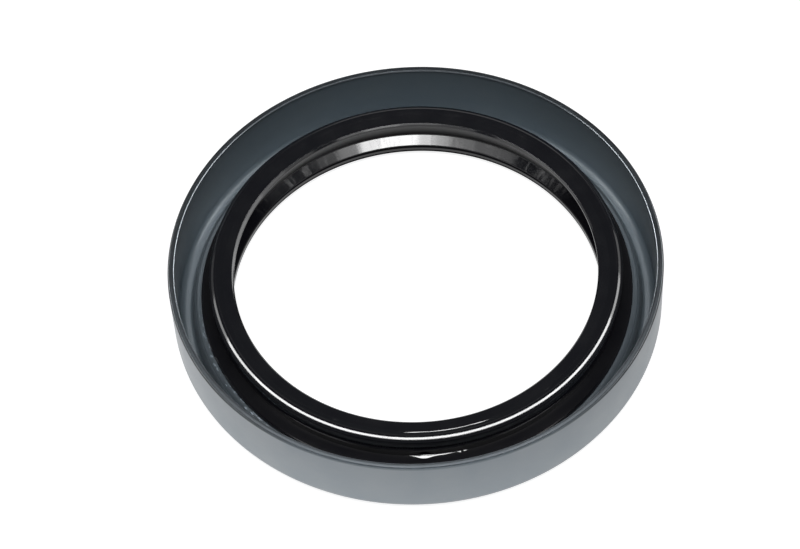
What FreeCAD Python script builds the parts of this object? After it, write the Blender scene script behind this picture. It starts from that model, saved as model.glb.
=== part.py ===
import FreeCAD, Part
import os

import Sketcher
from FreeCAD import Vector

# Radial shaft seal for a 60 mm shaft in an 80 mm housing bore, 12 mm wide. Three pieces: a pressed
# steel case, one moulded rubber sealing element that is bonded to the case's stepped floor, and the
# garter spring that lies in the rubber's groove. Every piece is a turned section about the Z axis.
# The origin is at the centre of the back face, which looks away from the oil, and +Z points to the
# open, oil side.

# Driving sizes, in millimetres and degrees.
SIZES = {
    # what the seal fits
    "shaft_diameter": 60.0,
    "section_width": 10.0,
    "seal_width": 12.0,
    # pressed steel case
    "sheet_thickness": 1.1,
    "rim_outer_rounding": 0.38,
    "rim_inner_rounding": 0.2,
    "toe_bend_radius": 1.1,
    "toe_flat_width": 0.4,
    "step_foot_radius": 0.6,
    "step_slope_angle": 80.0,
    "step_height": 2.9,
    "step_top_radius": 0.2,
    "floor_hole_gap": 3.1,
    # rubber on the case's floor
    "cover_edge_setback": 0.1,
    "cover_thickness": 0.4,
    "cover_edge_rounding": 0.15,
    "back_cover_share": 0.46,
    "back_cover_thickness": 0.6,
    # sealing lip
    "lip_preload": 0.5,
    "lip_rise": 4.7,
    "lip_land_height": 0.3,
    "lip_bevel_width": 0.25,
    "oil_face_rise": 0.25,
    "bead_slope_width": 0.95,
    "bead_rise": 0.45,
    "bead_top_width": 1.2,
    "bead_inner_radius": 0.5,
    "trim_share": 0.65,
    "trim_angle": 30.0,
    "trim_top_radius": 0.25,
    "trim_foot_radius": 0.6,
    "head_overhang": 0.738,
    "head_underside_share": 0.468,
    "head_corner_radius": 0.4,
    "air_side_angle": 25.0,
    "neck_thickness": 1.21,
    "neck_shoulder_share": 0.319,
    "neck_shoulder_radius": 0.6,
    "foot_share": 0.667,
    # dust lip
    "dust_lip_gap": 0.3,
    "dust_lip_base_height": 0.69,
    "dust_lip_nose_height": 1.89,
    "dust_lip_nose_width": 0.9,
    "dust_lip_slope_angle": 36.4,
    "dust_lip_underside_angle": 46.0,
    "dust_lip_root_radius": 0.3,
    "dust_lip_top_radius": 0.2,
    "dust_lip_nose_radius": 0.55,
    "dust_lip_heel_radius": 0.5,
    # garter spring and its groove
    "spring_coil_diameter": 1.8,
    "spring_clearance": 0.05,
    "spring_depth": 1.4,
    "spring_drop": 1.5,
    "groove_mouth_width": 0.6,
}

# Radii and heights that follow from the driving sizes, as formulas over the sheet.
CASE_RADIUS = "(sizes.shaft_diameter / 2 + sizes.section_width)"
WALL_RADIUS = "(" + CASE_RADIUS + " - sizes.sheet_thickness)"
BEND_SHIFT = "sizes.sheet_thickness * tan(sizes.step_slope_angle * 1 deg / 2)"
FLOOR_TOP = "(sizes.sheet_thickness + sizes.step_height)"
STEP_FOOT = (
    "(" + WALL_RADIUS + " - sizes.toe_bend_radius - sizes.toe_flat_width"
    " - sizes.step_foot_radius * tan(sizes.step_slope_angle * 1 deg / 2))"
)
STEP_TOP = "(" + STEP_FOOT + " - sizes.step_height / tan(sizes.step_slope_angle * 1 deg))"
STEP_TOP_UNDER = "(" + STEP_TOP + " - " + BEND_SHIFT + ")"
FLOOR_HOLE = "(sizes.shaft_diameter / 2 + sizes.floor_hole_gap)"
COVER_RADIUS = (
    "(" + STEP_TOP + " - (sizes.step_top_radius + sizes.sheet_thickness)"
    " * tan(sizes.step_slope_angle * 1 deg / 2) - sizes.cover_edge_setback)"
)
COVER_TOP = "(" + FLOOR_TOP + " + sizes.cover_thickness)"
BACK_COVER_RADIUS = (
    "(" + FLOOR_HOLE + " + (" + STEP_TOP_UNDER + " - " + FLOOR_HOLE + ") * sizes.back_cover_share)"
)
BACK_COVER_UNDERSIDE = "(sizes.step_height - sizes.back_cover_thickness)"
LIP_RADIUS = "(sizes.shaft_diameter / 2 - sizes.lip_preload)"
LIP_EDGE = "(" + COVER_TOP + " + sizes.lip_rise)"
OIL_FACE = "(" + LIP_EDGE + " + sizes.oil_face_rise)"
BEAD_TOP = "(" + OIL_FACE + " + sizes.bead_rise)"
HEAD_UNDERSIDE = "(" + COVER_TOP + " + sizes.lip_rise * sizes.head_underside_share)"
NECK_SHOULDER = "(" + COVER_TOP + " + sizes.lip_rise * sizes.neck_shoulder_share)"
LAND_FOOT = "(" + LIP_EDGE + " - sizes.lip_land_height)"
NECK_INSIDE = (
    "(" + LIP_RADIUS + " + (" + LAND_FOOT + " - " + COVER_TOP + ")"
    " * tan(sizes.air_side_angle * 1 deg))"
)
NECK_OUTSIDE = "(" + NECK_INSIDE + " + sizes.neck_thickness)"
FOOT_ROUNDING = (
    "(min(" + COVER_RADIUS + " - " + NECK_OUTSIDE + "; " + NECK_SHOULDER + " - " + COVER_TOP + ")"
    " * sizes.foot_share)"
)
HEAD_RADIUS = "(" + NECK_OUTSIDE + " + sizes.head_overhang)"
BEAD_INSIDE = "(" + HEAD_RADIUS + " - sizes.bead_top_width)"
TRIM_WIDTH = "sizes.bead_top_width * sizes.trim_share"
TRIM_FOOT = "(" + BEAD_TOP + " - " + TRIM_WIDTH + " * tan(sizes.trim_angle * 1 deg))"
DUST_RADIUS = "(sizes.shaft_diameter / 2 + sizes.dust_lip_gap)"
DUST_TOP = "(sizes.dust_lip_base_height + sizes.dust_lip_nose_height)"
DUST_NOSE_OUTSIDE = "(" + DUST_RADIUS + " + sizes.dust_lip_nose_width)"
DUST_HEEL_RADIUS = (
    "(" + DUST_NOSE_OUTSIDE + " + (" + BACK_COVER_UNDERSIDE + " - sizes.dust_lip_base_height)"
    " / tan(sizes.dust_lip_underside_angle * 1 deg))"
)
DUST_ROOT = (
    "((" + LIP_RADIUS + " - " + DUST_RADIUS + " + " + LAND_FOOT + " * tan(sizes.air_side_angle * 1 deg)"
    " + " + DUST_TOP + " / tan(sizes.dust_lip_slope_angle * 1 deg))"
    " / (tan(sizes.air_side_angle * 1 deg) + 1 / tan(sizes.dust_lip_slope_angle * 1 deg)))"
)
DUST_ROOT_RADIUS = (
    "(" + LIP_RADIUS + " + (" + LAND_FOOT + " - " + DUST_ROOT + ")"
    " * tan(sizes.air_side_angle * 1 deg))"
)
SPRING_RADIUS = "(" + HEAD_RADIUS + " - sizes.spring_depth)"
SPRING_HEIGHT = "(" + LIP_EDGE + " - sizes.spring_drop)"
GROOVE_RADIUS = "(sizes.spring_coil_diameter / 2 + sizes.spring_clearance)"

# A corner's edge is found within this distance of its formula, in millimetres.
EDGE_MATCH = 1e-4

doc = FreeCAD.newDocument("radial_shaft_seal")


def make_sheet():
    """Writes the driving sizes into the spreadsheet, one named cell each."""
    sheet = doc.addObject("Spreadsheet::Sheet", "sizes")
    for row, (name, size) in enumerate(SIZES.items(), start=1):
        sheet.set("A%d" % row, name)
        sheet.set("B%d" % row, str(size))
        sheet.setAlias("B%d" % row, name)
    doc.recompute()
    return sheet


SHEET = make_sheet()


def size_of(formula):
    """The value that a formula over the sheet has now, as a plain number."""
    value = SHEET.evalExpression(formula)
    return float(getattr(value, "Value", value))


def new_body(name, label):
    """An empty body with a label that names its file."""
    body = doc.addObject("PartDesign::Body", name)
    body.Label = label
    return body


def section_sketch(body, name):
    """A sketch on the body's own XZ plane, where x is the radius and y the height."""
    sketch = body.newObject("Sketcher::SketchObject", name)
    plane = [item for item in body.Origin.OriginFeatures if item.Role == "XZ_Plane"][0]
    sketch.AttachmentSupport = [(plane, "")]
    sketch.MapMode = "FlatFace"
    return sketch


def hold_point(sketch, curve, point, name, radius, height):
    """Ties one point of a sketch to formulas for its radius and its height."""
    index = sketch.addConstraint(
        Sketcher.Constraint("DistanceX", -1, 1, curve, point, size_of(radius)))
    sketch.renameConstraint(index, name + "_radius")
    sketch.setExpression("Constraints." + name + "_radius", radius)
    if height is None:
        sketch.addConstraint(Sketcher.Constraint("PointOnObject", curve, point, -1))
        return
    index = sketch.addConstraint(
        Sketcher.Constraint("DistanceY", -1, 1, curve, point, size_of(height)))
    sketch.renameConstraint(index, name + "_height")
    sketch.setExpression("Constraints." + name + "_height", height)


def draw_section(body, name, corners):
    """A closed outline through named corners, each held by its own formulas."""
    sketch = section_sketch(body, name)
    spots = []
    for corner, radius, height in corners:
        level = 0.0 if height is None else size_of(height)
        spots.append(Vector(size_of(radius), level, 0))
    count = len(corners)
    for k in range(count):
        sketch.addGeometry(Part.LineSegment(spots[k], spots[(k + 1) % count]), False)
    for k in range(count):
        sketch.addConstraint(Sketcher.Constraint("Coincident", k, 2, (k + 1) % count, 1))
    for k, (corner, radius, height) in enumerate(corners):
        hold_point(sketch, k, 1, corner, radius, height)
    return sketch


def draw_circle(body, name, radius, height, circle_radius):
    """A circle in the section, its centre and its radius held by formulas."""
    sketch = section_sketch(body, name)
    centre = Vector(size_of(radius), size_of(height), 0)
    sketch.addGeometry(Part.Circle(centre, Vector(0, 0, 1), size_of(circle_radius)), False)
    hold_point(sketch, 0, 3, "centre", radius, height)
    index = sketch.addConstraint(Sketcher.Constraint("Radius", 0, size_of(circle_radius)))
    sketch.renameConstraint(index, "circle_radius")
    sketch.setExpression("Constraints.circle_radius", circle_radius)
    return sketch


def turn(body, kind, name, sketch):
    """Turns a section a full circle about the Z axis, as a solid or as a cut."""
    feature = body.newObject("PartDesign::" + kind, name)
    feature.Profile = sketch
    feature.ReferenceAxis = (sketch, ["V_Axis"])
    feature.Angle = 360.0
    sketch.Visibility = False
    doc.recompute()
    return feature


def ring_edges(shape, spots):
    """Names of the circular edges that lie at the given radius and height pairs."""
    names = []
    for radius, height in spots:
        for number, edge in enumerate(shape.Edges, start=1):
            curve = edge.Curve
            if not isinstance(curve, Part.Circle):
                continue
            near = abs(curve.Radius - radius) < EDGE_MATCH
            level = abs(curve.Center.z - height) < EDGE_MATCH
            if near and level and curve.Center.x ** 2 + curve.Center.y ** 2 < EDGE_MATCH:
                names.append("Edge%d" % number)
                break
    return names


def round_corner(body, name, radius, height, rounding):
    """Rounds one ring-shaped corner, found by its radius and height."""
    base = body.Tip
    level = 0.0 if height is None else size_of(height)
    names = ring_edges(base.Shape, [(size_of(radius), level)])
    if not names:
        raise ValueError("no corner found for " + name)
    fillet = body.newObject("PartDesign::Fillet", name)
    fillet.Base = (base, names)
    fillet.Radius = size_of(rounding)
    fillet.setExpression("Radius", rounding)
    doc.recompute()
    return fillet


def make_case():
    """Pressed steel cup: rim, wall, rounded toe, a step up to the inner floor and its hole."""
    body = new_body("OuterCase", "outer_case")
    step_foot_under = "(" + STEP_FOOT + " - " + BEND_SHIFT + ")"
    corners = [
        ("rim_outside", CASE_RADIUS, "sizes.seal_width"),
        ("rim_inside", WALL_RADIUS, "sizes.seal_width"),
        ("toe_inside", WALL_RADIUS, "sizes.sheet_thickness"),
        ("step_foot", STEP_FOOT, "sizes.sheet_thickness"),
        ("step_top", STEP_TOP, FLOOR_TOP),
        ("hole_top", FLOOR_HOLE, FLOOR_TOP),
        ("hole_underside", FLOOR_HOLE, "sizes.step_height"),
        ("step_top_underside", STEP_TOP_UNDER, "sizes.step_height"),
        ("step_foot_underside", step_foot_under, None),
        ("toe_outside", CASE_RADIUS, None),
    ]
    section = draw_section(body, "CaseSection", corners)
    turn(body, "Revolution", "CaseBlank", section)
    bends = [
        ("ToeOutside", CASE_RADIUS, None, "sizes.toe_bend_radius + sizes.sheet_thickness"),
        ("ToeInside", WALL_RADIUS, "sizes.sheet_thickness", "sizes.toe_bend_radius"),
        ("StepFoot", STEP_FOOT, "sizes.sheet_thickness", "sizes.step_foot_radius"),
        ("StepFootUnderside", step_foot_under, None,
         "sizes.step_foot_radius + sizes.sheet_thickness"),
        ("StepTop", STEP_TOP, FLOOR_TOP, "sizes.step_top_radius + sizes.sheet_thickness"),
        ("StepTopUnderside", STEP_TOP_UNDER, "sizes.step_height", "sizes.step_top_radius"),
        ("RimOutside", CASE_RADIUS, "sizes.seal_width", "sizes.rim_outer_rounding"),
        ("RimInside", WALL_RADIUS, "sizes.seal_width", "sizes.rim_inner_rounding"),
    ]
    for name, radius, height, rounding in bends:
        round_corner(body, name, radius, height, rounding)
    return body


def make_sealing_element():
    """Moulded rubber: cover on the floor, neck, lip head with its groove, and dust lip."""
    body = new_body("SealingElement", "sealing_element")
    corners = [
        ("cover_edge_foot", COVER_RADIUS, FLOOR_TOP),
        ("cover_edge", COVER_RADIUS, COVER_TOP),
        ("foot", NECK_OUTSIDE, COVER_TOP),
        ("neck_shoulder", NECK_OUTSIDE, NECK_SHOULDER),
        ("head_underside", HEAD_RADIUS, HEAD_UNDERSIDE),
        ("trim_foot", HEAD_RADIUS, TRIM_FOOT),
        ("trim_top", HEAD_RADIUS + " - " + TRIM_WIDTH, BEAD_TOP),
        ("bead_inside", BEAD_INSIDE, BEAD_TOP),
        ("oil_face_outside", BEAD_INSIDE + " - sizes.bead_slope_width", OIL_FACE),
        ("oil_face_inside", LIP_RADIUS + " + sizes.lip_bevel_width", OIL_FACE),
        ("land_top", LIP_RADIUS, LIP_EDGE),
        ("land_foot", LIP_RADIUS, LAND_FOOT),
        ("dust_lip_root", DUST_ROOT_RADIUS, DUST_ROOT),
        ("dust_lip_top", DUST_RADIUS, DUST_TOP),
        ("dust_lip_nose", DUST_RADIUS, "sizes.dust_lip_base_height"),
        ("dust_lip_base", DUST_NOSE_OUTSIDE, "sizes.dust_lip_base_height"),
        ("dust_lip_heel", DUST_HEEL_RADIUS, BACK_COVER_UNDERSIDE),
        ("back_cover_edge", BACK_COVER_RADIUS, BACK_COVER_UNDERSIDE),
        ("back_cover_foot", BACK_COVER_RADIUS, "sizes.step_height"),
        ("hole_underside", FLOOR_HOLE, "sizes.step_height"),
        ("hole_top", FLOOR_HOLE, FLOOR_TOP),
    ]
    section = draw_section(body, "SealingSection", corners)
    turn(body, "Revolution", "SealingBlank", section)
    roundings = [
        ("CoverEdge", COVER_RADIUS, COVER_TOP, "sizes.cover_edge_rounding"),
        ("Foot", NECK_OUTSIDE, COVER_TOP, FOOT_ROUNDING),
        ("NeckShoulder", NECK_OUTSIDE, NECK_SHOULDER, "sizes.neck_shoulder_radius"),
        ("HeadCorner", HEAD_RADIUS, HEAD_UNDERSIDE, "sizes.head_corner_radius"),
        ("TrimFoot", HEAD_RADIUS, TRIM_FOOT, "sizes.trim_foot_radius"),
        ("TrimTop", HEAD_RADIUS + " - " + TRIM_WIDTH, BEAD_TOP, "sizes.trim_top_radius"),
        ("BeadInside", BEAD_INSIDE, BEAD_TOP, "sizes.bead_inner_radius"),
        ("DustLipRoot", DUST_ROOT_RADIUS, DUST_ROOT, "sizes.dust_lip_root_radius"),
        ("DustLipTop", DUST_RADIUS, DUST_TOP, "sizes.dust_lip_top_radius"),
        ("DustLipNose", DUST_RADIUS, "sizes.dust_lip_base_height", "sizes.dust_lip_nose_radius"),
        ("DustLipBase", DUST_NOSE_OUTSIDE, "sizes.dust_lip_base_height",
         "sizes.dust_lip_heel_radius"),
        ("DustLipHeel", DUST_HEEL_RADIUS, BACK_COVER_UNDERSIDE, "sizes.dust_lip_heel_radius"),
    ]
    for name, radius, height, rounding in roundings:
        round_corner(body, name, radius, height, rounding)
    seat = draw_circle(body, "GrooveSection", SPRING_RADIUS, SPRING_HEIGHT, GROOVE_RADIUS)
    turn(body, "Groove", "SpringGroove", seat)
    mouth_low = SPRING_HEIGHT + " - sizes.groove_mouth_width / 2"
    mouth_high = SPRING_HEIGHT + " + sizes.groove_mouth_width / 2"
    mouth_outside = HEAD_RADIUS + " + sizes.head_corner_radius"
    mouth = draw_section(body, "MouthSection", [
        ("mouth_inside_low", SPRING_RADIUS, mouth_low),
        ("mouth_outside_low", mouth_outside, mouth_low),
        ("mouth_outside_high", mouth_outside, mouth_high),
        ("mouth_inside_high", SPRING_RADIUS, mouth_high),
    ])
    turn(body, "Groove", "GrooveMouth", mouth)
    return body


def make_spring():
    """Garter spring: the closed ring that its wound coil fills, inside the groove."""
    body = new_body("GarterSpring", "garter_spring")
    ring = draw_circle(body, "SpringSection", SPRING_RADIUS, SPRING_HEIGHT,
                       "sizes.spring_coil_diameter / 2")
    turn(body, "Revolution", "SpringRing", ring)
    return body


def write_parts(bodies):
    """Checks every object and each piece's shape, then writes one file a piece."""
    doc.recompute()
    for item in doc.Objects:
        if "Invalid" in item.State or "Error" in item.State:
            raise ValueError(item.Name + " failed: " + str(item.State))
    for body in bodies:
        if body.Shape.isNull() or not body.Shape.isValid():
            raise ValueError(body.Label + " has no valid shape")
    os.makedirs("parts", exist_ok=True)
    for body in bodies:
        body.Shape.exportStep(os.path.join("parts", body.Label + ".step"))
        box = body.Shape.optimalBoundingBox()
        print("%s: %.1f mm3, height %.2f to %.2f, radius %.2f" % (
            body.Label, body.Shape.Volume, box.ZMin, box.ZMax, box.XMax))


write_parts([make_case(), make_sealing_element(), make_spring()])
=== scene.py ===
# %% [markdown]
# # A radial shaft seal on a white table
# This lesson dresses a finished CAD model in Blender. The object is a radial shaft seal: a pressed
# steel cup with a moulded rubber lip in it. It keeps the oil in where a shaft leaves a machine.
# The CAD model gives every size, and its pieces could be shown as they are. We draw finer meshes
# in their place, because light shows small roundings that a CAD mesh leaves out. Then come the
# finishes, the light and the camera.

import math
import random

import bpy
from mathutils import Matrix, Vector


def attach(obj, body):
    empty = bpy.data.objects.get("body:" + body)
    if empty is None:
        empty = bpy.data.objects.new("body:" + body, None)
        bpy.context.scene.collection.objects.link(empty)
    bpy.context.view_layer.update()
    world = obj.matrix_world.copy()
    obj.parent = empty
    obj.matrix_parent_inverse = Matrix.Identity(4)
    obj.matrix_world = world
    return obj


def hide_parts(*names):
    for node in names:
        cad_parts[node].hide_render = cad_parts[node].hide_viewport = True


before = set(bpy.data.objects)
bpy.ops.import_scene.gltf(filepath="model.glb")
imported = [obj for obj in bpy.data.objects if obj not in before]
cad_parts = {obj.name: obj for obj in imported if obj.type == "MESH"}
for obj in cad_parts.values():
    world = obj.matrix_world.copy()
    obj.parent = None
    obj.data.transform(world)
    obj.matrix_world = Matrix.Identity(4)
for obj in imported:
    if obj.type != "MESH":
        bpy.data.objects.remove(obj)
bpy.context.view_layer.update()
print("nodes:", sorted(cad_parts))

# %% [markdown]
# ## Lengths
# The drawings of a seal are in millimetres, and Blender works in metres. Every number could be
# written in metres. One factor, used where a mesh is made, keeps them the same as on the drawing.

# %% Units and fineness
MM = 0.001
OUTSIDE_RADIUS = 40.0
SEAL_HEIGHT = 12.0
TURN_STEPS = 640      # straight steps round a full turn
ARC_STEP = 9.0        # degrees between two points of a rounded corner
print("step on the outside wall: %.2f mm" % (2 * math.pi * OUTSIDE_RADIUS / TURN_STEPS))

# %% [markdown]
# ## A turned section
# Every piece of the seal is round, so each is drawn once, as a section, and then turned about the
# shaft's axis. A section is a list of corners: radius, height, and how far the corner is rounded.
# Each rounded corner becomes a short arc. A lathe could also be the Screw modifier, but a mesh made
# in code closes the ring exactly and lets the section change on the way round.


# %% Rounded corners
def rounded_corner(before, corner, after):
    """Points of the arc that rounds one corner of a section."""
    spot = Vector(corner[:2])
    rounding = corner[2] if len(corner) > 2 else 0.0
    if rounding <= 0:
        return [spot]
    toward = (Vector(before[:2]) - spot).normalized()
    onward = (Vector(after[:2]) - spot).normalized()
    opening = toward.angle(onward)
    reach = rounding / math.tan(opening / 2)
    centre = spot + (toward + onward).normalized() * (rounding / math.sin(opening / 2))
    start = spot + toward * reach - centre
    end = spot + onward * reach - centre
    turn = start.angle_signed(end)
    steps = max(2, int(round(abs(math.degrees(turn)) / ARC_STEP)))
    return [centre + Matrix.Rotation(-turn * k / steps, 2) @ start for k in range(steps + 1)]


def round_section(corners):
    """The whole closed section as plain points."""
    points = []
    for k, corner in enumerate(corners):
        points += rounded_corner(corners[k - 1], corner, corners[(k + 1) % len(corners)])
    return points


print("one rounded square corner:", len(rounded_corner((1, 0), (0, 0, 0.1), (0, 1))), "points")


# %% Make a mesh of points and faces
def new_piece(name, verts, faces):
    """A smooth mesh object in the scene."""
    mesh = bpy.data.meshes.new(name)
    mesh.from_pydata(verts, [], faces)
    mesh.update()
    mesh.shade_smooth()
    piece = bpy.data.objects.new(name, mesh)
    bpy.context.scene.collection.objects.link(piece)
    print("%s: %d faces" % (name, len(faces)))
    return piece


# %% Turn a section about the axis
SHARP_ANGLE = 20.0


def turned_piece(name, section_at):
    """A closed ring. The section is asked for at every angle, in (radius, height) millimetres."""
    verts = []
    for step in range(TURN_STEPS):
        angle = 2 * math.pi * step / TURN_STEPS
        across, along = math.cos(angle) * MM, math.sin(angle) * MM
        points = section_at(math.degrees(angle))
        verts += [(point[0] * across, point[0] * along, point[1] * MM) for point in points]
    count = len(points)
    faces = []
    for step in range(TURN_STEPS):
        here, there = step * count, (step + 1) % TURN_STEPS * count
        for k in range(count):
            after = (k + 1) % count
            faces.append((here + k, there + k, there + after, here + after))
    piece = new_piece(name, verts, faces)
    piece.data.set_sharp_from_angle(angle=math.radians(SHARP_ANGLE))
    flat_slopes = piece.modifiers.new("flat_slopes", "WEIGHTED_NORMAL")
    flat_slopes.keep_sharp = True
    flat_slopes.weight = 100
    print("%s: %d points in the section" % (name, count))
    return piece


# %% [markdown]
# ## The pressed steel case
# The case starts as a flat disc. A press draws it into a cup, bends the toe round, and steps the
# floor up to carry the rubber. It could be a thin skin with a Solidify modifier. We draw both sides
# instead, because the cut rim is rounder outside than inside. The sheet keeps about the same
# thickness, so every outside bend is one sheet thickness larger than the inside bend behind it.

# %% Case section
SHEET = 1.1
WALL_INSIDE = OUTSIDE_RADIUS - SHEET
FLOOR_TOP = 4.0
FLOOR_UNDER = FLOOR_TOP - SHEET
FLOOR_HOLE = 33.1
TOE_BEND, STEP_FOOT_BEND, STEP_TOP_BEND = 1.1, 0.6, 0.2     # inside bends

CASE_CORNERS = [
    (OUTSIDE_RADIUS, SEAL_HEIGHT, 0.38),             # rim, outside
    (WALL_INSIDE, SEAL_HEIGHT, 0.2),                 # rim, inside
    (WALL_INSIDE, SHEET, TOE_BEND),                  # trough, foot of the wall
    (36.8965, SHEET, STEP_FOOT_BEND),                # trough, foot of the step
    (36.3852, FLOOR_TOP, STEP_TOP_BEND + SHEET),     # step, top
    (FLOOR_HOLE, FLOOR_TOP),
    (FLOOR_HOLE, FLOOR_UNDER),
    (35.4622, FLOOR_UNDER, STEP_TOP_BEND),           # step, top, seen from the back
    (35.9735, 0.0, STEP_FOOT_BEND + SHEET),
    (OUTSIDE_RADIUS, 0.0, TOE_BEND + SHEET),         # toe
]
case_points = round_section(CASE_CORNERS)
case = turned_piece("pressed_case", lambda angle: case_points)
print("sheet thickness: %.1f mm" % SHEET)

# %% [markdown]
# ## The rubber
# The rubber is moulded on the steel in one go. It has a thin cover on the floor, a neck that lets
# the lip move, and a heavy head that ends in the sealing edge. Below is the dust lip. A groove
# round the head holds the spring. On the oil side a fine ridge is left where two halves of the
# mould meet, and it catches the light. The parts could be separate rings that overlap, but one
# closed section has no seams, as the moulding has none.

# %% Sizes of the rubber
SEALING_EDGE = 29.5           # radius
BEVEL = 0.25
OIL_FACE = 9.35               # height
RIDGE_INNER, RIDGE_TOP, RIDGE_OUTER = (31.60, 9.468), (31.64, 9.575, 0.008), (31.72, 9.525)
HEAD_RADIUS = 33.5
HEAD_TOP = 9.8
NECK_RADIUS = 32.762
DUST_LIP = 30.3               # radius
DUST_LIP_TIP = 0.69           # height
CLASP_RADIUS, CLASP_UNDER = 34.186, 2.3
COVER_RADIUS, COVER_TOP = 35.194, 4.4
SPRING_CENTRE = (32.1, 7.6)
GROOVE_RADIUS = 0.95
GROOVE_STEPS = 32
MOUTH_HALF = 0.3
print("sealing edge: %.1f mm across" % (2 * SEALING_EDGE))


# %% The spring's groove
def groove_points():
    """The spring's groove, from its mouth's lower edge round to the upper edge."""
    inset = math.asin(MOUTH_HALF / GROOVE_RADIUS)
    points = [Vector((HEAD_RADIUS, SPRING_CENTRE[1] - MOUTH_HALF))]
    for k in range(GROOVE_STEPS + 1):
        angle = -inset - (2 * math.pi - 2 * inset) * k / GROOVE_STEPS
        points.append(Vector((SPRING_CENTRE[0] + GROOVE_RADIUS * math.cos(angle),
                              SPRING_CENTRE[1] + GROOVE_RADIUS * math.sin(angle))))
    points.append(Vector((HEAD_RADIUS, SPRING_CENTRE[1] + MOUTH_HALF)))
    return points


print("groove:", len(groove_points()), "points")

# %% Rubber section
RUBBER_CORNERS = [
    (HEAD_RADIUS, 9.2, 0.25),                        # shoulder
    (33.14, 9.584, 0.06),                            # trimmed slant, outer end
    (32.72, HEAD_TOP, 0.25),                         # trimmed slant, inner end
    (32.3, HEAD_TOP, 0.5),
    RIDGE_OUTER, RIDGE_TOP, RIDGE_INNER,
    (31.35, OIL_FACE, 0.05),
    (SEALING_EDGE + BEVEL, OIL_FACE, 0.05),
    (SEALING_EDGE, OIL_FACE - BEVEL, 0.05),
    (SEALING_EDGE, 8.8),
    (31.863, 3.7325, 0.2),                           # air side, foot
    (DUST_LIP, 2.58, 0.2),
    (DUST_LIP, DUST_LIP_TIP, 0.55),
    (31.2, DUST_LIP_TIP, 0.5),
    (32.755, CLASP_UNDER, 0.5),
    (CLASP_RADIUS, CLASP_UNDER),
    (CLASP_RADIUS, FLOOR_UNDER),
    (FLOOR_HOLE, FLOOR_UNDER),
    (FLOOR_HOLE, FLOOR_TOP),
    (COVER_RADIUS, FLOOR_TOP),
]
HEAD_SIDE = [
    (NECK_RADIUS, 5.9, 0.6),
    (HEAD_RADIUS, 6.6, 0.4),
]


def rubber_section(edge=0.05, drop=0.05, crease=0.012, climb=0.03):
    """The rubber's section, with the slant of the cover's outer edge and the crease's filling.

    The slant is as wide as the edge and falls by the drop. The crease is where the neck stands
    on the cover. Oil fills it slantwise, out over the cover and up the neck by the climb."""
    softness = crease * 0.2
    cover_and_crease = [
        (COVER_RADIUS, COVER_TOP - drop),
        (COVER_RADIUS - edge, COVER_TOP),
        (NECK_RADIUS + crease, COVER_TOP, softness),
        (NECK_RADIUS, COVER_TOP + climb, softness),
    ]
    return round_section(RUBBER_CORNERS + cover_and_crease + HEAD_SIDE) + groove_points()


RIDGED = rubber_section()
print("rubber section:", len(RIDGED), "points")

# %% [markdown]
# ## What changes on the way round
# In front, a bead of oil fills the crease at the foot of the neck, with two small drops beside it.
# The edge of the cover was trimmed by hand and is a little uneven at the left. The mould's ridge
# shows in front and fades to the sides, and the bevel at the sealing edge is trimmed wider at the
# back left and back right. These could be small pieces of their own, which would show seams. We
# draw the section once for each instead, with the same number of points, and mix them by angle.

# %% Sections to mix
RIDGE_SLOPE = (RIDGE_OUTER[1] - RIDGE_INNER[1]) / (RIDGE_OUTER[0] - RIDGE_INNER[0])
WIDER_BY = 0.24


def without_ridge(points):
    """The section with the mould's ridge cut down to the slope beside it."""
    cut = []
    for point in points:
        slope = RIDGE_INNER[1] + (point.x - RIDGE_INNER[0]) * RIDGE_SLOPE
        on_ridge = RIDGE_INNER[0] < point.x < RIDGE_OUTER[0] and point.y > slope
        cut.append(Vector((point.x, slope)) if on_ridge else point)
    return cut


def widely_trimmed(points):
    """The section with a wider bevel at the sealing edge."""
    moved = []
    for point in points:
        on_bevel = point.x < SEALING_EDGE + 2 * BEVEL and point.y > OIL_FACE - 2 * BEVEL
        if on_bevel and point.y > OIL_FACE - BEVEL / 2:
            point = Vector((point.x + WIDER_BY, point.y))
        elif on_bevel:
            point = Vector((point.x, point.y - WIDER_BY))
        moved.append(point)
    return moved


PLAIN = without_ridge(RIDGED)
WIDE_BEVEL = widely_trimmed(PLAIN)
FULL_CREASE = without_ridge(rubber_section(crease=0.6, climb=0.31))
FULL_EDGE = without_ridge(rubber_section(edge=0.32, drop=0.163))
print("bevel: %.2f mm, and %.2f mm where it is wide" % (BEVEL, BEVEL + WIDER_BY))

# %% Where each section shows
# Angles are degrees from the front, plus to the right.
OIL_BEAD = [(1.0, -0.6, 2.5), (0.3, 4.5, 3.2), (0.5, 9.4, 0.45), (0.4, 10.9, 0.35)]
UNEVEN_EDGE = (-55.0, 20.0)
MOULD_RIDGE = (6.0, 32.0)
WIDE_LEFT, WIDE_RIGHT = (-118.0, 26.0), (126.0, 22.0)


def hump(angle, middle, reach):
    """A smooth hump, 1 at its middle angle."""
    return math.exp(-((angle - middle) / reach) ** 2)


def oil_at(front):
    """How far the oil fills the crease, from the fullness, middle and reach of each drop."""
    return min(1.0, sum(full * hump(front, middle, reach) for full, middle, reach in OIL_BEAD))


print("oil in front: %.2f, at the side: %.2f" % (oil_at(0.0), oil_at(90.0)))

# %% Nicks in the cover's edge
NICK_STEPS = 4                # steps of the turn that one nick takes
SHALLOWNESS = 1.2             # above 1, more of the nicks are shallow
random.seed(11)
RAGGED = []
for _ in range(TURN_STEPS // NICK_STEPS):
    RAGGED += [random.random() ** SHALLOWNESS] * NICK_STEPS
print("nicks round the edge:", TURN_STEPS // NICK_STEPS)


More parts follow.
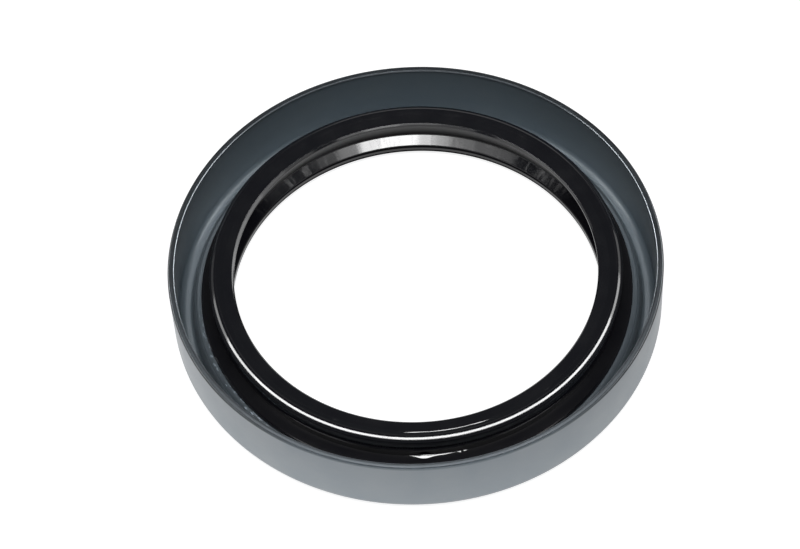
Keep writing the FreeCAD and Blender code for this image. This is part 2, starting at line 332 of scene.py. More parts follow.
# %% Turn the rubber
def rubber_at(angle):
    """The rubber's section at an angle in degrees, with 270 in front."""
    front = angle - 270.0
    step = int(round(angle / 360 * TURN_STEPS)) % TURN_STEPS
    shares = (
        oil_at(front),
        RAGGED[step] * hump(front, *UNEVEN_EDGE),
        hump(front, *MOULD_RIDGE),
        max(hump(front, *WIDE_LEFT), hump(front, *WIDE_RIGHT)),
    )
    points = []
    for plain, *others in zip(PLAIN, FULL_CREASE, FULL_EDGE, RIDGED, WIDE_BEVEL):
        point = plain
        for other, share in zip(others, shares):
            point = point + (other - plain) * share
        points.append(point)
    return points


rubber = turned_piece("moulded_rubber", rubber_at)

# %% [markdown]
# ## The garter spring
# The spring is a long coil of thin wire with its ends joined, so it makes a ring that squeezes the
# lip onto the shaft. A plain ring with a striped bump would look alike from afar. It is wound here,
# because only real turns catch the light one by one. The wire follows a small circle while that
# circle travels round the seal.

# %% The wire's way
WIRE = 0.38
COIL_OUTSIDE = 0.9            # radius of the coil over the wire
COIL_TURNS = 470
COIL_STEPS = 12               # steps in one turn of the coil
WIRE_SIDES = 6
LOOK_AHEAD = 0.3              # share of a step, to see which way the wire runs
COIL_MIDDLE = COIL_OUTSIDE - WIRE / 2


def wire_spot(share):
    """Middle of the wire, at a share of the way round the seal."""
    round_seal = 2 * math.pi * share
    round_coil = 2 * math.pi * share * COIL_TURNS
    radius = SPRING_CENTRE[0] + COIL_MIDDLE * math.cos(round_coil)
    height = SPRING_CENTRE[1] + COIL_MIDDLE * math.sin(round_coil)
    return Vector((radius * math.cos(round_seal), radius * math.sin(round_seal), height))


print("from turn to turn: %.2f mm" % (2 * math.pi * SPRING_CENTRE[0] / COIL_TURNS))


# %% Wind the spring
def wound_spring(name):
    """The closed coil as a tube mesh."""
    total = COIL_TURNS * COIL_STEPS
    verts, faces = [], []
    for k in range(total):
        share = k / total
        spot = wire_spot(share)
        ahead = (wire_spot(share + LOOK_AHEAD / total) - spot).normalized()
        angle = 2 * math.pi * share
        middle = Vector((SPRING_CENTRE[0] * math.cos(angle), SPRING_CENTRE[0] * math.sin(angle),
                         SPRING_CENTRE[1]))
        outward = (spot - middle).normalized()
        sideways = ahead.cross(outward).normalized()
        for side in range(WIRE_SIDES):
            turn = 2 * math.pi * side / WIRE_SIDES
            offset = (outward * math.cos(turn) + sideways * math.sin(turn)) * (WIRE / 2)
            verts.append((spot + offset) * MM)
        here, there = k * WIRE_SIDES, (k + 1) % total * WIRE_SIDES
        for side in range(WIRE_SIDES):
            after = (side + 1) % WIRE_SIDES
            faces.append((here + side, here + after, there + after, there + side))
    return new_piece(name, verts, faces)


spring = wound_spring("wound_spring")

# %% [markdown]
# ## Small tools for node trees
# A finish is a tree of nodes. Each node could be made and linked line by line, which takes many
# lines that look the same. These small helpers make one node each and give back its output, so
# that a finish below reads like a sentence.


# %% Numbers and masks
def feed(tree, value, socket):
    """Puts a plain number, or what another node gives, into a socket."""
    if isinstance(value, (int, float)):
        socket.default_value = value
    else:
        tree.links.new(value, socket)


def math_node(tree, operation, *values):
    """A Math node. Gives its output socket."""
    node = tree.nodes.new("ShaderNodeMath")
    node.operation = operation
    for slot, value in enumerate(values):
        feed(tree, value, node.inputs[slot])
    return node.outputs[0]


def times(tree, first, *others):
    """Masks or values multiplied."""
    for other in others:
        first = math_node(tree, "MULTIPLY", first, other)
    return first


def line(tree, value, slope, start):
    """The value times a slope, plus a start."""
    return math_node(tree, "MULTIPLY_ADD", value, slope, start)


def from_to(tree, mask, low, high):
    """A value that goes from low to high as a mask goes from 0 to 1."""
    return line(tree, mask, high - low, low)


def opposite(tree, mask):
    """1 where the mask is 0."""
    return math_node(tree, "SUBTRACT", 1.0, mask)


def clamped(tree, value, low=0.0, high=1.0):
    """The value, kept between low and high."""
    node = tree.nodes.new("ShaderNodeClamp")
    node.inputs["Min"].default_value = low
    node.inputs["Max"].default_value = high
    tree.links.new(value, node.inputs["Value"])
    return node.outputs[0]


def fade(tree, place, start, end):
    """A mask along a place in metres, 0 at the start and 1 at the end, both in millimetres."""
    slope = 1.0 / ((end - start) * MM)
    return clamped(tree, line(tree, place, slope, -start * MM * slope))


print("helpers:", ", ".join(made.__name__ for made in (
    feed, math_node, times, line, from_to, opposite, clamped, fade)))


# %% Vectors, noise and colours
def vector_node(tree, operation, first, second=None, scale=None):
    """A Vector Math node. Gives its vector, or its value where it measures a length."""
    node = tree.nodes.new("ShaderNodeVectorMath")
    node.operation = operation
    tree.links.new(first, node.inputs[0])
    if second is not None:
        tree.links.new(second, node.inputs[1])
    if scale is not None:
        feed(tree, scale, node.inputs["Scale"])
    return node.outputs["Value" if operation == "LENGTH" else "Vector"]


def object_place(tree):
    """The place on the object, in metres from its middle."""
    return tree.nodes.new("ShaderNodeTexCoord").outputs["Object"]


def object_axes(tree):
    """That place, split into X to the right, Y to the back and Z upwards."""
    split = tree.nodes.new("ShaderNodeSeparateXYZ")
    tree.links.new(object_place(tree), split.inputs[0])
    return split.outputs["X"], split.outputs["Y"], split.outputs["Z"]


def noise(tree, vector, scale, detail=3.0, roughness=0.5):
    """A noise texture on a vector. Gives its value, about 0.5 in the middle."""
    node = tree.nodes.new("ShaderNodeTexNoise")
    node.inputs["Scale"].default_value = scale
    node.inputs["Detail"].default_value = detail
    node.inputs["Roughness"].default_value = roughness
    tree.links.new(vector, node.inputs["Vector"])
    return node.outputs["Fac"]


def blend_colours(tree, mask, first, second):
    """A Mix node between a colour, or what another node gives, and a second colour."""
    node = tree.nodes.new("ShaderNodeMix")
    node.data_type = "RGBA"
    if isinstance(first, tuple):
        node.inputs[6].default_value = (*first, 1.0)
    else:
        tree.links.new(first, node.inputs[6])
    node.inputs[7].default_value = (*second, 1.0)
    tree.links.new(mask, node.inputs[0])
    return node.outputs[2]


print("helpers:", ", ".join(made.__name__ for made in (
    vector_node, object_place, object_axes, noise, blend_colours)))

# %% [markdown]
# ## Shared surface effects
# Steel, rubber and spring wire share some effects: marks that run round the ring, a thin uneven
# film of oil, and wear near an edge. They could be copied into each material. A node group is
# built once and placed with its own values, so a change reaches every finish.

# %% Helpers for node groups
FLOAT, VECTOR = "NodeSocketFloat", "NodeSocketVector"


def new_group(name, inputs, outputs):
    """A shader node group with named sockets and its two end nodes."""
    group = bpy.data.node_groups.new(name, "ShaderNodeTree")
    for label, value in inputs:
        socket = group.interface.new_socket(name=label, in_out="INPUT", socket_type=FLOAT)
        socket.default_value = value
    for label, kind in outputs:
        group.interface.new_socket(name=label, in_out="OUTPUT", socket_type=kind)
    return group, group.nodes.new("NodeGroupInput"), group.nodes.new("NodeGroupOutput")


def place_group(tree, group, **values):
    """A group node with its named inputs set. Words with an underscore stand for spaces."""
    node = tree.nodes.new("ShaderNodeGroup")
    node.node_tree = group
    for label, value in values.items():
        node.inputs[label.replace("_", " ")].default_value = value
    return node


print("helpers:", new_group.__name__, "and", place_group.__name__)


# %% Group: places on the ring
HEIGHT_WEIGHT = 1.7           # along the section, a step up counts more than a step outwards


def ring_measures(tree):
    """The place without its height, the radius, and the height, the last two in millimetres."""
    right, back, high = object_axes(tree)
    flat = tree.nodes.new("ShaderNodeCombineXYZ")
    tree.links.new(right, flat.inputs["X"])
    tree.links.new(back, flat.inputs["Y"])
    radius = times(tree, vector_node(tree, "LENGTH", flat.outputs[0]), 1 / MM)
    return flat.outputs[0], radius, times(tree, high, 1 / MM)


def ring_place_group():
    """A vector for noise that is drawn out round the ring, with the radius and the height."""
    group, start, end = new_group(
        "RingPlace", [("Round Scale", 1.0), ("Section Scale", 1.0)],
        [("Vector", VECTOR), ("Radius", FLOAT), ("Height", FLOAT)])
    flat, radius, height = ring_measures(group)
    spread = vector_node(group, "SCALE", vector_node(group, "NORMALIZE", flat),
                         scale=start.outputs["Round Scale"])
    along_section = math_node(group, "ADD", radius, times(group, height, HEIGHT_WEIGHT))
    lift = group.nodes.new("ShaderNodeCombineXYZ")
    group.links.new(times(group, along_section, start.outputs["Section Scale"]), lift.inputs["Z"])
    group.links.new(vector_node(group, "ADD", spread, lift.outputs[0]), end.inputs["Vector"])
    group.links.new(radius, end.inputs["Radius"])
    group.links.new(height, end.inputs["Height"])
    return group


RING_PLACE = ring_place_group()
print("group:", RING_PLACE.name)


# %% Group: drawn and moulded marks
def surface_marks_group():
    """Fine grain and marks that run round the ring, as one height."""
    group, start, end = new_group(
        "SurfaceMarks", [("Grain", 0.5), ("Rings", 0.5)], [("Height", FLOAT)])
    ring = place_group(group, RING_PLACE, Round_Scale=1.6, Section_Scale=7.0)
    rings = noise(group, ring.outputs["Vector"], 1.0, 2.0)
    grain = noise(group, object_place(group), 9000.0, 2.0)
    total = line(group, rings, start.outputs["Rings"],
                 times(group, grain, start.outputs["Grain"]))
    group.links.new(total, end.inputs["Height"])
    return group


SURFACE_MARKS = surface_marks_group()
print("group:", SURFACE_MARKS.name)


# %% Group: oil film
def oil_film_group():
    """A mask of an uneven oil film, 0 where it is thin and 1 where it is thick."""
    group, start, end = new_group(
        "OilFilm", [("Amount", 0.5), ("Patch Size", 6.0)], [("Film", FLOAT)])
    shrunk = vector_node(group, "SCALE", object_place(group), scale=math_node(
        group, "DIVIDE", 1 / MM, start.outputs["Patch Size"]))
    patches = noise(group, shrunk, 1.0, 4.0, 0.55)
    film = clamped(group, times(group, math_node(group, "SUBTRACT", patches, 0.35), 3.0))
    group.links.new(times(group, film, start.outputs["Amount"]), end.inputs["Film"])
    return group


OIL_FILM = oil_film_group()
print("group:", OIL_FILM.name)


# %% Group: wear at an edge
def edge_wear_group():
    """Masks near a height and inside a radius: the whole edge, and the edge broken by wear."""
    group, start, end = new_group(
        "EdgeWear",
        [("Edge Height", SEAL_HEIGHT), ("Reach", 0.4), ("Outer Radius", OUTSIDE_RADIUS)],
        [("Wear", FLOAT), ("Edge", FLOAT)])
    ring = place_group(group, RING_PLACE, Round_Scale=30.0, Section_Scale=1.5)
    gap = math_node(group, "ABSOLUTE", math_node(
        group, "SUBTRACT", start.outputs["Edge Height"], ring.outputs["Height"]))
    near = clamped(group, opposite(group, math_node(
        group, "DIVIDE", gap, start.outputs["Reach"])))
    within = math_node(group, "LESS_THAN", ring.outputs["Radius"], start.outputs["Outer Radius"])
    edge = times(group, near, within)
    handling = noise(group, ring.outputs["Vector"], 1.0, 4.0, 0.6)
    group.links.new(times(group, edge, handling), end.inputs["Wear"])
    group.links.new(edge, end.inputs["Edge"])
    return group


EDGE_WEAR = edge_wear_group()
print("group:", EDGE_WEAR.name)


# %% Helpers for materials
def new_material(name):
    """A material with its Principled BSDF ready to be set."""
    material = bpy.data.materials.new(name)
    material.use_nodes = True
    print("material:", name)
    return material, material.node_tree, material.node_tree.nodes["Principled BSDF"]


def bump_from(tree, shader, height, distance):
    """Feeds a height socket through a Bump node into the shader's normal."""
    bump = tree.nodes.new("ShaderNodeBump")
    bump.inputs["Distance"].default_value = distance
    bump.inputs["Strength"].default_value = 1.0
    tree.links.new(height, bump.inputs["Height"])
    tree.links.new(bump.outputs["Normal"], shader.inputs["Normal"])
    print("bump: %.3f mm" % (distance / MM))


# %% [markdown]
# ## Steel
# The case is bare steel with a thin dark grey finish and a film of oil. It is satin: it mirrors
# large shapes softly. One grey with one roughness would look like plastic. The film makes patches
# of two greys, and the rim is paler where the sheet was cut and hands hold the seal. Beside the
# rubber the steel's colour is darkened by painted shade.

# %% Case steel: colours
STEEL_DRY, STEEL_OILED = (0.245, 0.268, 0.288), (0.262, 0.28, 0.294)
STEEL_WORN, STEEL_SHADED_BESIDE_RUBBER = (0.32, 0.36, 0.40), (0.10, 0.11, 0.12)
# painted shade: the step's top, inside this radius, is darkened in the colour
PAINTED_SHADE_RADIUS, PAINTED_SHADE_DEPTH = 36.1, 0.75
FLOOR_FROM = 3.3              # height that leaves out the trough
steel, tree, shader = new_material("case_steel")
film = place_group(tree, OIL_FILM, Amount=1.0, Patch_Size=9.0).outputs["Film"]
wear = place_group(tree, EDGE_WEAR, Edge_Height=SEAL_HEIGHT, Reach=0.8, Outer_Radius=39.8)
edge = wear.outputs["Edge"]
ring = place_group(tree, RING_PLACE)
radius, height = ring.outputs["Radius"], ring.outputs["Height"]
on_floor = math_node(tree, "GREATER_THAN", height, FLOOR_FROM)
beside_rubber = times(tree, math_node(tree, "LESS_THAN", radius, PAINTED_SHADE_RADIUS), on_floor)
greys = blend_colours(tree, film, STEEL_DRY, STEEL_OILED)
worn = blend_colours(tree, wear.outputs["Wear"], greys, STEEL_WORN)
# painted shade: the steel beside the rubber is mixed towards a dark grey
with_painted_shade = blend_colours(tree, times(tree, beside_rubber, PAINTED_SHADE_DEPTH), worn, STEEL_SHADED_BESIDE_RUBBER)
print("greys:", STEEL_DRY, STEEL_OILED)

# %% Case steel: gloss and grain
DRY_STEEL, OILED_STEEL = 0.42, 0.36         # roughness
EDGE_POLISH = 0.08
FINISH_METAL, BARE_METAL = 0.84, 1.0        # how metallic the finish and the bare edge are
marks = place_group(tree, SURFACE_MARKS, Grain=0.15, Rings=0.5)
tree.links.new(from_to(tree, edge, FINISH_METAL, BARE_METAL), shader.inputs["Metallic"])
satin = from_to(tree, film, DRY_STEEL, OILED_STEEL)
polish = times(tree, edge, EDGE_POLISH)
tree.links.new(math_node(tree, "SUBTRACT", satin, polish), shader.inputs["Roughness"])
bump_from(tree, shader, marks.outputs["Height"], 0.003 * MM)

# %% [markdown]
# ## Painted light and shade on the steel
# The real cup isn't one grey under the lamps. Its outside is lighter at the toe. Its inside is
# darker at the sides than at the back and a little darker towards the rim, the rim's flat is dark
# at the back, and small glints show beside the rubber. More lamps could make some of these
# differences, but no lamp darkens a wall. So they are painted into the colour as light and shade,
# as factors tied to the place on the cup.

# %% Case steel: painted light and shade on the walls
WALL_MIDDLE = 39.3                          # radius half way through the wall
# Painted light and shade, as factors on the grey: lighter outside at the toe, lighter inside low
# down, darker inside at the sides.
TOE_FACTOR, FACTOR_PER_MM = 1.10, -0.020    # the grey outside, at the toe, and per mm upwards
INSIDE_MORE, MORE_PER_MM = 0.12, -0.012     # added inside the cup
SIDES_LESS = -0.22                          # added inside, away from the back
right, back, _ = object_axes(tree)
inside = math_node(tree, "LESS_THAN", radius, WALL_MIDDLE)
side_part = opposite(tree, fade(tree, back, 0.0, 35.7))
# painted light and shade: the grey factor by height, inside and at the sides
grey = line(tree, height, FACTOR_PER_MM, TOE_FACTOR)
grey = line(tree, inside, line(tree, height, MORE_PER_MM, INSIDE_MORE), grey)
grey = line(tree, times(tree, inside, side_part), SIDES_LESS, grey)
print("grey outside: from %.2f at the toe to %.2f at the rim"
      % (TOE_FACTOR, TOE_FACTOR + FACTOR_PER_MM * SEAL_HEIGHT))

# %% Case steel: painted glints beside the rubber
# Painted glints: pale specks added to the steel's grey beside the rubber, at the front left.
SMEAR_RADIUS, SMEAR_HALF = 35.45, 0.3
PAINTED_GLINT_STRENGTH = 2.6
FEW_PAINTED_GLINTS = (9.0, -4.9)    # slope and start that leave only the noise's peaks
around_rubber = place_group(tree, RING_PLACE, Round_Scale=26.0, Section_Scale=3.2)
painted_glints = noise(tree, around_rubber.outputs["Vector"], 1.0, 3.0, 0.6)
painted_glints = clamped(tree, line(tree, painted_glints, *FEW_PAINTED_GLINTS))
painted_glint_ring = times(tree, math_node(tree, "COMPARE", radius, SMEAR_RADIUS, SMEAR_HALF), on_floor)
left_front = fade(tree, math_node(tree, "ADD", right, back), -36.25, -48.75)
grey = line(tree, times(tree, painted_glints, painted_glint_ring, left_front), PAINTED_GLINT_STRENGTH, grey)
print("smears: from radius %.2f to %.2f mm" % (SMEAR_RADIUS - SMEAR_HALF,
                                               SMEAR_RADIUS + SMEAR_HALF))

# %% Case steel: painted shade on the rim
RIM_FLAT_RADIUS, RIM_ROUNDING_RADIUS, RIM_FLAT_HEIGHT = 39.08, 39.66, 11.6
# Painted shade: the rim's flat is darker at the back and a little in front, and its outer rounding
# at the flanks darker still.
RIM_AT_BACK, RIM_IN_FRONT, ROUNDING_AT_FLANKS = 0.35, 0.80, 0.35
in_front = fade(tree, back, 0.0, -35.7)
rim_flat = times(tree, math_node(tree, "GREATER_THAN", radius, RIM_FLAT_RADIUS),
                 math_node(tree, "GREATER_THAN", height, RIM_FLAT_HEIGHT))
at_flanks = fade(tree, math_node(tree, "ABSOLUTE", right), 17.1, 31.4)
outer_rounding = times(tree, math_node(tree, "GREATER_THAN", radius, RIM_ROUNDING_RADIUS),
                       at_flanks)
rim_grey = times(tree, from_to(tree, in_front, RIM_AT_BACK, RIM_IN_FRONT),
                 from_to(tree, outer_rounding, 1.0, ROUNDING_AT_FLANKS))
grey = times(tree, grey, math_node(tree, "ADD", 1.0, times(
    tree, rim_flat, math_node(tree, "SUBTRACT", rim_grey, 1.0))))
shaded = vector_node(tree, "SCALE", with_painted_shade, scale=grey)
tree.links.new(shaded, shader.inputs["Base Color"])
print("steel nodes:", len(tree.nodes))

# %% [markdown]
# ## Rubber
# Nitrile rubber is black and, fresh from the mould and oiled, nearly as glossy as paint. Its own
# colour hardly shows. What we see is what it mirrors, so its gloss carries the whole look. It
# could be one even gloss, but then every lip would show the same lamps. On the real seal the oil
# lies in patches, the lip's air side and the cover are duller, and the dust lip is mostly dry.

# %% Seal rubber: colour and marks
black, tree, shader = new_material("seal_rubber")
film = place_group(tree, OIL_FILM, Amount=1.0, Patch_Size=5.0).outputs["Film"]
marks = place_group(tree, SURFACE_MARKS, Grain=0.25, Rings=0.6)
tree.links.new(blend_colours(tree, film, (0.0018, 0.0018, 0.0023), (0.0014, 0.0014, 0.0020)),
               shader.inputs["Base Color"])
bump_from(tree, shader, marks.outputs["Height"], 0.002 * MM)

# %% Seal rubber: its parts
# These measures also set the IOR, which a group shouldn't feed. So they are made in the material,
# not in a group.
_, radius, height = ring_measures(tree)


def rubber_part(inside_radius, middle, half):
    """A mask of what lies inside a radius and within half of a middle height."""
    return times(tree, math_node(tree, "LESS_THAN", radius, inside_radius),
                 math_node(tree, "COMPARE", height, middle, half))


air_side = rubber_part(31.9, 6.25, 2.5)
dust_face = rubber_part(31.9, 3.05, 0.6)
dust_cone = rubber_part(31.95, 3.05, 0.75)
dust_nose = rubber_part(30.5, 1.2, 1.3)
cover = times(tree, math_node(tree, "COMPARE", radius, 33.8, 1.035),
              math_node(tree, "COMPARE", height, 4.0, 0.42))
print("parts: air side, dust face, dust cone, dust nose, cover")

# %% Seal rubber: dull parts
DRY_RUBBER, OILED_RUBBER = 0.12, 0.07       # roughness
DULL_AIR_SIDE, DULL_COVER, DULL_STREAKS = 0.34, 0.30, 0.07      # added to it
HALF_STREAKED = (7.0, -3.6)                 # slope and start of the streaks
down_the_lip = place_group(tree, RING_PLACE, Round_Scale=45.0, Section_Scale=0.1)
streaks = noise(tree, down_the_lip.outputs["Vector"], 1.0, 1.0)
streaks = clamped(tree, line(tree, streaks, *HALF_STREAKED))
dull = math_node(tree, "MAXIMUM", times(tree, air_side, DULL_AIR_SIDE),
                 times(tree, cover, DULL_COVER))
dull = math_node(tree, "MAXIMUM", dull, times(tree, streaks, DULL_STREAKS, dust_face))
gloss = from_to(tree, film, DRY_RUBBER, OILED_RUBBER)
tree.links.new(math_node(tree, "ADD", dull, gloss), shader.inputs["Roughness"])
print("roughness: from %.2f to %.2f" % (OILED_RUBBER, DRY_RUBBER + DULL_AIR_SIDE))

# %% Seal rubber: dry parts
WET_STRIPE, WET_HALF = 1.7, 0.27            # heights on the dust lip's nose
WET_IOR, DRY_IOR = 1.5, 1.04
FULL_MIRROR, COVER_MIRROR = 0.5, 0.15       # specular level
wet_stripe = math_node(tree, "COMPARE", height, WET_STRIPE, WET_HALF)
_, back, _ = object_axes(tree)
wet_back = fade(tree, back, 16.0, 24.0)
dry = math_node(tree, "MAXIMUM", times(tree, dust_nose, opposite(tree, wet_stripe)),
                times(tree, dust_cone, opposite(tree, wet_back)))
tree.links.new(from_to(tree, dry, WET_IOR, DRY_IOR), shader.inputs["IOR"])
tree.links.new(from_to(tree, cover, FULL_MIRROR, COVER_MIRROR),
               shader.inputs["Specular IOR Level"])
print("rubber nodes:", len(tree.nodes))

# %% [markdown]
# ## Spring wire
# Spring wire is drawn bright and hardly dulls, because the rubber hides it. A plain chrome would be
# too clean: the oil that the lip holds back darkens it in small patches.

# %% Spring steel
bright, tree, shader = new_material("spring_steel")
shader.inputs["Metallic"].default_value = 1.0
film = place_group(tree, OIL_FILM, Amount=1.0, Patch_Size=2.0).outputs["Film"]
marks = place_group(tree, SURFACE_MARKS, Grain=1.0, Rings=0.0)
tree.links.new(blend_colours(tree, film, (0.50, 0.50, 0.50), (0.42, 0.41, 0.39)),
               shader.inputs["Base Color"])
tree.links.new(from_to(tree, film, 0.32, 0.22), shader.inputs["Roughness"])
bump_from(tree, shader, marks.outputs["Height"], 0.002 * MM)

# %% [markdown]
# ## Put the pieces on the model's body
# The real seal is one unit: the rubber is bonded to the steel and the spring sits in its groove.
# So every piece rides on the model's one body. Each stands for its CAD node, which is then hidden,
# and takes that node's material slot.

# %% Ride, replace and give each piece its material
for piece, node, slot, material in (
        (case, "outer_case", "case_steel", steel),
        (rubber, "sealing_element", "seal_rubber", black),
        (spring, "garter_spring", "spring_steel", bright)):
    piece.data.materials.append(material)
    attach(piece, "root")
    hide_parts(node)
    print(piece.name, "stands for", node)

# %% [markdown]
# ## Table
# The seal lies on a plain white table. More light would whiten the table, but it would bleach the
# seal too. So the table gives off a little light of its own, which only the camera and mirrored
# rays see, a bit stronger at the left. The soft shadow under the seal stays.

# %% Table top
HALF_TABLE = 3.0
TABLE_TOP = -0.02 * MM
table_mesh = bpy.data.meshes.new("white_table")
table_mesh.from_pydata([(x * HALF_TABLE, y * HALF_TABLE, TABLE_TOP)
                        for x, y in ((-1, -1), (1, -1), (1, 1), (-1, 1))], [], [(0, 1, 2, 3)])
table = bpy.data.objects.new("white_table", table_mesh)
bpy.context.scene.collection.objects.link(table)
print("table:", 2 * HALF_TABLE, "m across")

# %% Table white
GLOW_SEEN = 0.85                            # added to what the lamps make of the table
GLOW_MIDDLE, GLOW_PER_METRE = 0.70, -2.4    # in reflections, at the middle and to the right
GLOW_LEAST, GLOW_MOST = 0.58, 0.82
white, tree, shader = new_material("table_white")
shader.inputs["Base Color"].default_value = (0.45, 0.45, 0.45, 1.0)
shader.inputs["Roughness"].default_value = 0.9
shader.inputs["Specular IOR Level"].default_value = 0.0
path = tree.nodes.new("ShaderNodeLightPath")
mirrored = math_node(tree, "MAXIMUM", path.outputs["Is Glossy Ray"],
                     path.outputs["Is Transmission Ray"])
right, _, _ = object_axes(tree)
from_left = clamped(tree, line(tree, right, GLOW_PER_METRE, GLOW_MIDDLE), GLOW_LEAST, GLOW_MOST)
glow = tree.nodes.new("ShaderNodeEmission")
tree.links.new(line(tree, path.outputs["Is Camera Ray"], GLOW_SEEN,
                    times(tree, mirrored, from_left)), glow.inputs["Strength"])
total = tree.nodes.new("ShaderNodeAddShader")
tree.links.new(shader.outputs[0], total.inputs[0])
tree.links.new(glow.outputs[0], total.inputs[1])
tree.links.new(total.outputs[0], tree.nodes["Material Output"].inputs["Surface"])
table_mesh.materials.append(white)

# %% [markdown]
# ## Studio light
# Satin steel shows large soft shapes, so it is lit as in a photo studio: by panels at the back left
# and right, two at the sides, weak ones in front and behind, and a soft light overhead. One bright
# dome would be quicker, but it would wash out the dark inside of the cup. The overhead light and
# the cool fill in front aren't mirrored, because their shapes would show.


# %% Helpers for lamps
def lamp_facing(name, place, along, width, height, radiance, receivers=None):
    """An area light at a place in metres that faces the seal. Its width runs along a direction."""
    data = bpy.data.lights.new(name, "AREA")
    data.shape = "RECTANGLE"
    data.size, data.size_y = width, height
    data.energy = radiance * math.pi * width * height
    lamp = bpy.data.objects.new(name, data)
    away = place.normalized()
    across = (along - away * along.dot(away)).normalized()
    lamp.matrix_world = Matrix.Translation(place) @ Matrix(
        (across, away.cross(across), away)).transposed().to_4x4()
    bpy.context.scene.collection.objects.link(lamp)
    if receivers:
        lamp.light_linking.receiver_collection = receivers
    return lamp


def soft_light(name, azimuth, elevation, distance, width, height, radiance, receivers=None):
    """A lamp by where it stands. Azimuth 0 is behind the seal, 90 right of it, 180 in front."""
    a, e = math.radians(azimuth), math.radians(elevation)
    toward = Vector((math.sin(a) * math.cos(e), math.cos(a) * math.cos(e), math.sin(e)))
    level = Vector((math.cos(a), -math.sin(a), 0))
    lamp = lamp_facing(name, toward * distance, level, width, height, radiance, receivers)
    print("%s: %.1f W" % (name, lamp.data.energy))
    return lamp


def lit_group(name, *pieces):
    """A collection of the pieces that a lamp may light."""
    collection = bpy.data.collections.new(name)
    for piece in pieces:
        collection.objects.link(piece)
    print(name, "holds", [piece.name for piece in pieces])
    return collection


# %% Lights for the steel
PANEL_DISTANCE, PANEL_HEIGHT = 1.2, 0.36
PANEL_WARMTH = (1.0, 0.985, 0.965)
PANELS = (                            # name, azimuth, elevation, width, radiance
    ("left_panel", 308, 28, 0.36, 22.0),
    ("left_side_panel", 278, 34, 0.5, 12.0),
    ("right_panel", 52, 28, 0.36, 22.0),
    ("right_side_panel", 82, 34, 0.5, 12.0),
    ("front_low", 180, 20, 0.8, 1.3),
)
steel_only = lit_group("steel_only", case, spring)
overhead = soft_light("overhead_softbox", azimuth=180, elevation=75, distance=1.0, width=0.7,
                      height=0.5, radiance=6.0)
overhead.visible_glossy = False
front_fill = soft_light("front_fill", azimuth=180, elevation=61, distance=1.0, width=0.7,
                        height=0.5, radiance=15.0, receivers=steel_only)
front_fill.visible_glossy = False
front_fill.data.color = (0.72, 0.91, 1.04)
for name, azimuth, elevation, width, radiance in PANELS:
    panel = soft_light(name, azimuth, elevation, PANEL_DISTANCE, width, PANEL_HEIGHT, radiance,
                       steel_only)
    panel.visible_diffuse = False
    panel.data.color = PANEL_WARMTH
soft_light("rear_high", azimuth=0, elevation=69, distance=1.2, width=0.5, height=0.25,
           radiance=2.6, receivers=steel_only)
soft_light("rear_low", azimuth=0, elevation=14, distance=1.2, width=1.0, height=0.25,
           radiance=1.7, receivers=steel_only)

# %% [markdown]
# ## Small lamps that the rubber mirrors
# Glossy black rubber shows nothing but reflections. The lamps could be moved by hand until the
# right lines light up. But a slope shows a lamp that stands where its normal is half way between
# the eye and the lamp, so we work out where each lamp must stand. One row serves the trimmed
# shoulder, which carries a thin white line. One serves the dust lip at the back, and three the
# bevel at the sealing edge. A last small lamp gives the flat face on the oil side a faint sheen.
# The satin steel would only glare, so all of these light the rubber alone.

# %% Where the eye is
ELEVATION = math.radians(54.16)
EYE_IN_RADII = 11.94          # how far off the eye is, with the seal's radius as 1
EYE_DISTANCE = EYE_IN_RADII * OUTSIDE_RADIUS * MM
TARGET = Vector((0, 0, SEAL_HEIGHT * MM))
TO_EYE = Vector((0, -math.cos(ELEVATION), math.sin(ELEVATION)))
EYE = TARGET + TO_EYE * EYE_DISTANCE
print("the eye is %.0f mm from the rim's middle" % (EYE_DISTANCE / MM))

# %% Rows of lamps
ROW_DISTANCE = 0.9
LAMP_OVERLAP = 1.03


def mirrored_place(around, slope):
    """Where a lamp must stand to be mirrored by a slope: its radius, its height and its lean.

    The slope's normal points around degrees to the right of the front and leans up. A negative
    radius is a slope at the back that faces inwards."""
    radius, height, lean = slope
    turn, rise = math.radians(around), math.radians(lean)
    level = Vector((math.sin(turn), -math.cos(turn), 0))
    spot = (level * radius + Vector((0, 0, height))) * MM
    normal = level * math.cos(rise) + Vector((0, 0, math.sin(rise)))
    gaze = (EYE - spot).normalized()
    return spot + (normal * (2 * normal.dot(gaze)) - gaze) * ROW_DISTANCE


def lamp_row(name, slope, depth, stops):
    """A row of lamps along the mirrored curve. Each stop is (around, radiance)."""
    for k, (around, radiance) in enumerate(stops):
        before = stops[k - 1][0] if k else 2 * around - stops[1][0]
        after = stops[k + 1][0] if k + 1 < len(stops) else 2 * around - stops[k - 1][0]
        start = mirrored_place((before + around) / 2, slope)
        end = mirrored_place((after + around) / 2, slope)
        lamp_facing("%s_%+d" % (name, around), mirrored_place(around, slope), end - start,
                    (end - start).length * LAMP_OVERLAP, depth, radiance, rubber_only)
    print("%s: %d lamps" % (name, len(stops)))


rubber_only = lit_group("rubber_only", rubber)

# %% Rows for the shoulder, the dust lip and the sealing edge
SHOULDER = (33.05, 9.6, 62.9)
DUST_LIP_BACK = (-31.0, 3.1, 53.6)
EDGE_BEVEL = (-29.6, 9.2, 45.0)
lamp_row("shoulder_row", SHOULDER, 0.11, [
    (-90, 0.5), (-75, 5.0), (-60, 20.0), (-45, 26.0), (-30, 26.0), (-15, 26.0), (0, 26.0),
    (15, 26.0), (30, 26.0), (45, 26.0), (60, 22.0), (75, 8.0), (90, 1.5)])
lamp_row("dust_lip_row", DUST_LIP_BACK, 0.12, [
    (26, 1.0), (19, 4.0), (12, 20.0), (6, 26.0), (0, 26.0), (-5, 15.0), (-10, 9.0), (-17, 3.0),
    (-24, 1.9), (-31, 1.2)])
lamp_row("sealing_edge_row", EDGE_BEVEL, 0.12, [(18, 2.5), (8, 5.0), (-4, 2.5), (-16, 1.2)])
lamp_row("left_edge_row", EDGE_BEVEL, 0.12, [
    (38, 1.2), (50, 2.4), (62, 3.6), (74, 4.0), (86, 4.5), (98, 4.5)])
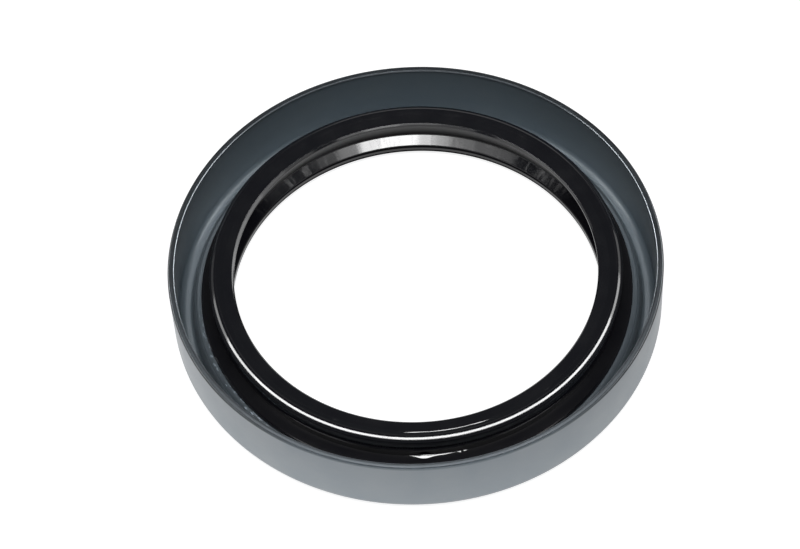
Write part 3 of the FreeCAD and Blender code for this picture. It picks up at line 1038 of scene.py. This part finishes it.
lamp_row("right_edge_row", EDGE_BEVEL, 0.12, [(-72, 0.8), (-60, 2.0), (-48, 2.4), (-36, 1.8)])
soft_light("oil_face_light", azimuth=3, elevation=49, distance=0.9, width=0.16, height=0.09,
           radiance=1.3, receivers=rubber_only)

# %% [markdown]
# ## Air of the studio
# A studio's walls send back a little cool light from everywhere. They could be built as large
# cards. A weak, slightly blue world does the same and costs nothing.

# %% World
world = bpy.data.worlds.new("studio_air")
world.use_nodes = True
background = world.node_tree.nodes["Background"]
background.inputs["Color"].default_value = (0.86, 0.93, 1.0, 1.0)
background.inputs["Strength"].default_value = 0.12
bpy.context.scene.world = world
print("world strength: %.2f" % background.inputs["Strength"].default_value)

# %% [markdown]
# ## Camera
# The photograph was taken from in front, looking down at the seal, with the camera held a little
# askew. A guessed view would bend every ring a little wrong. So the view's angle, distance, roll
# and shift were measured from the outlines of the rings, with the seal's radius as the unit.

# %% Camera
ROLL = math.radians(-3.25)
RADIUS_PIXELS = 248.22        # the seal's radius in the picture
PICTURE_WIDTH = 800
SENSOR = 36.0
SHIFT_RIGHT, SHIFT_UP = -15.07, -16.72      # pixels
up = Vector((0, math.sin(ELEVATION), math.cos(ELEVATION)))
side = Vector((1, 0, 0))
rolled_side = side * math.cos(ROLL) + up * math.sin(ROLL)
rolled_up = up * math.cos(ROLL) - side * math.sin(ROLL)
camera_data = bpy.data.cameras.new("camera")
camera_data.sensor_width = SENSOR
camera_data.lens = RADIUS_PIXELS * EYE_IN_RADII * SENSOR / PICTURE_WIDTH
camera_data.shift_x = SHIFT_RIGHT / PICTURE_WIDTH
camera_data.shift_y = SHIFT_UP / PICTURE_WIDTH
camera_data.clip_start = 0.01
camera = bpy.data.objects.new("camera", camera_data)
camera.matrix_world = Matrix.Translation(EYE) @ Matrix(
    (rolled_side, rolled_up, TO_EYE)).transposed().to_4x4()
bpy.context.scene.collection.objects.link(camera)
bpy.context.scene.camera = camera
bpy.context.scene.view_settings.view_transform = "Standard"
print("lens: %.1f mm" % camera_data.lens)
